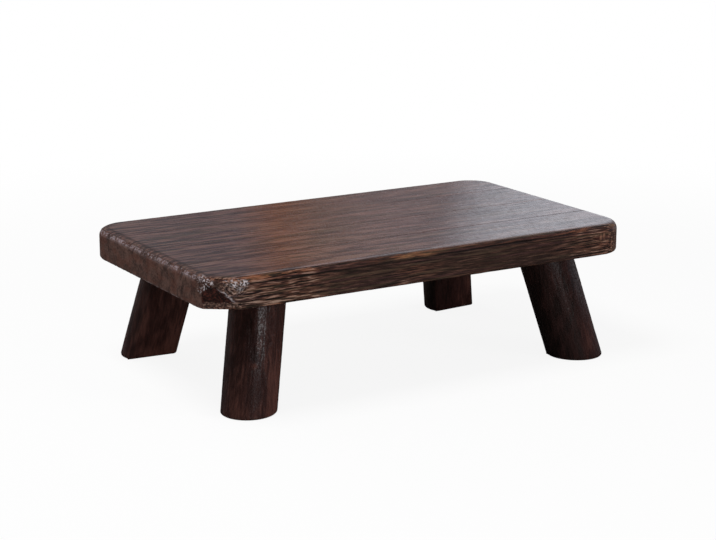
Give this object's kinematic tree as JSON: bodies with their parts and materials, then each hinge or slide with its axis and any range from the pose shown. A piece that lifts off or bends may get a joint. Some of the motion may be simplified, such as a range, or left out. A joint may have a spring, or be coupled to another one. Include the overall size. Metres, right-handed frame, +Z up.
{
  "type": "low table",
  "caption": "Low floor table: thick dark wood slab of glued boards with rounded corners, one of them hewn flat, on splayed D-shaped log legs held by blind dowels.",
  "frame": {"origin": "on the floor under the middle of the slab and of the overall box", "axes": "+Z up; X along the length of the slab; the front long side faces -Y"},
  "size_m": [0.7, 0.4098, 0.203],
  "materials": {
    "board_wood": "dark brown stain over wire-brushed grain, half-gloss lacquer",
    "leg_wood": "near-black brown stain over peeled log, half-gloss lacquer",
    "dowel_wood": "bare beech, unfinished"
  },
  "bodies": {
    "root": {"top_board_1": "board_wood", "top_board_2": "board_wood", "top_board_3": "board_wood", "top_board_4": "board_wood", "leg_front_left": "leg_wood", "leg_front_right": "leg_wood", "leg_back_left": "leg_wood", "leg_back_right": "leg_wood", "dowel_front_left_inner": "dowel_wood", "dowel_front_left_middle": "dowel_wood", "dowel_front_left_end": "dowel_wood", "dowel_front_right_inner": "dowel_wood", "dowel_front_right_middle": "dowel_wood", "dowel_front_right_end": "dowel_wood", "dowel_back_left_inner": "dowel_wood", "dowel_back_left_middle": "dowel_wood", "dowel_back_left_end": "dowel_wood", "dowel_back_right_inner": "dowel_wood", "dowel_back_right_middle": "dowel_wood", "dowel_back_right_end": "dowel_wood"}
  },
  "joints": []
}
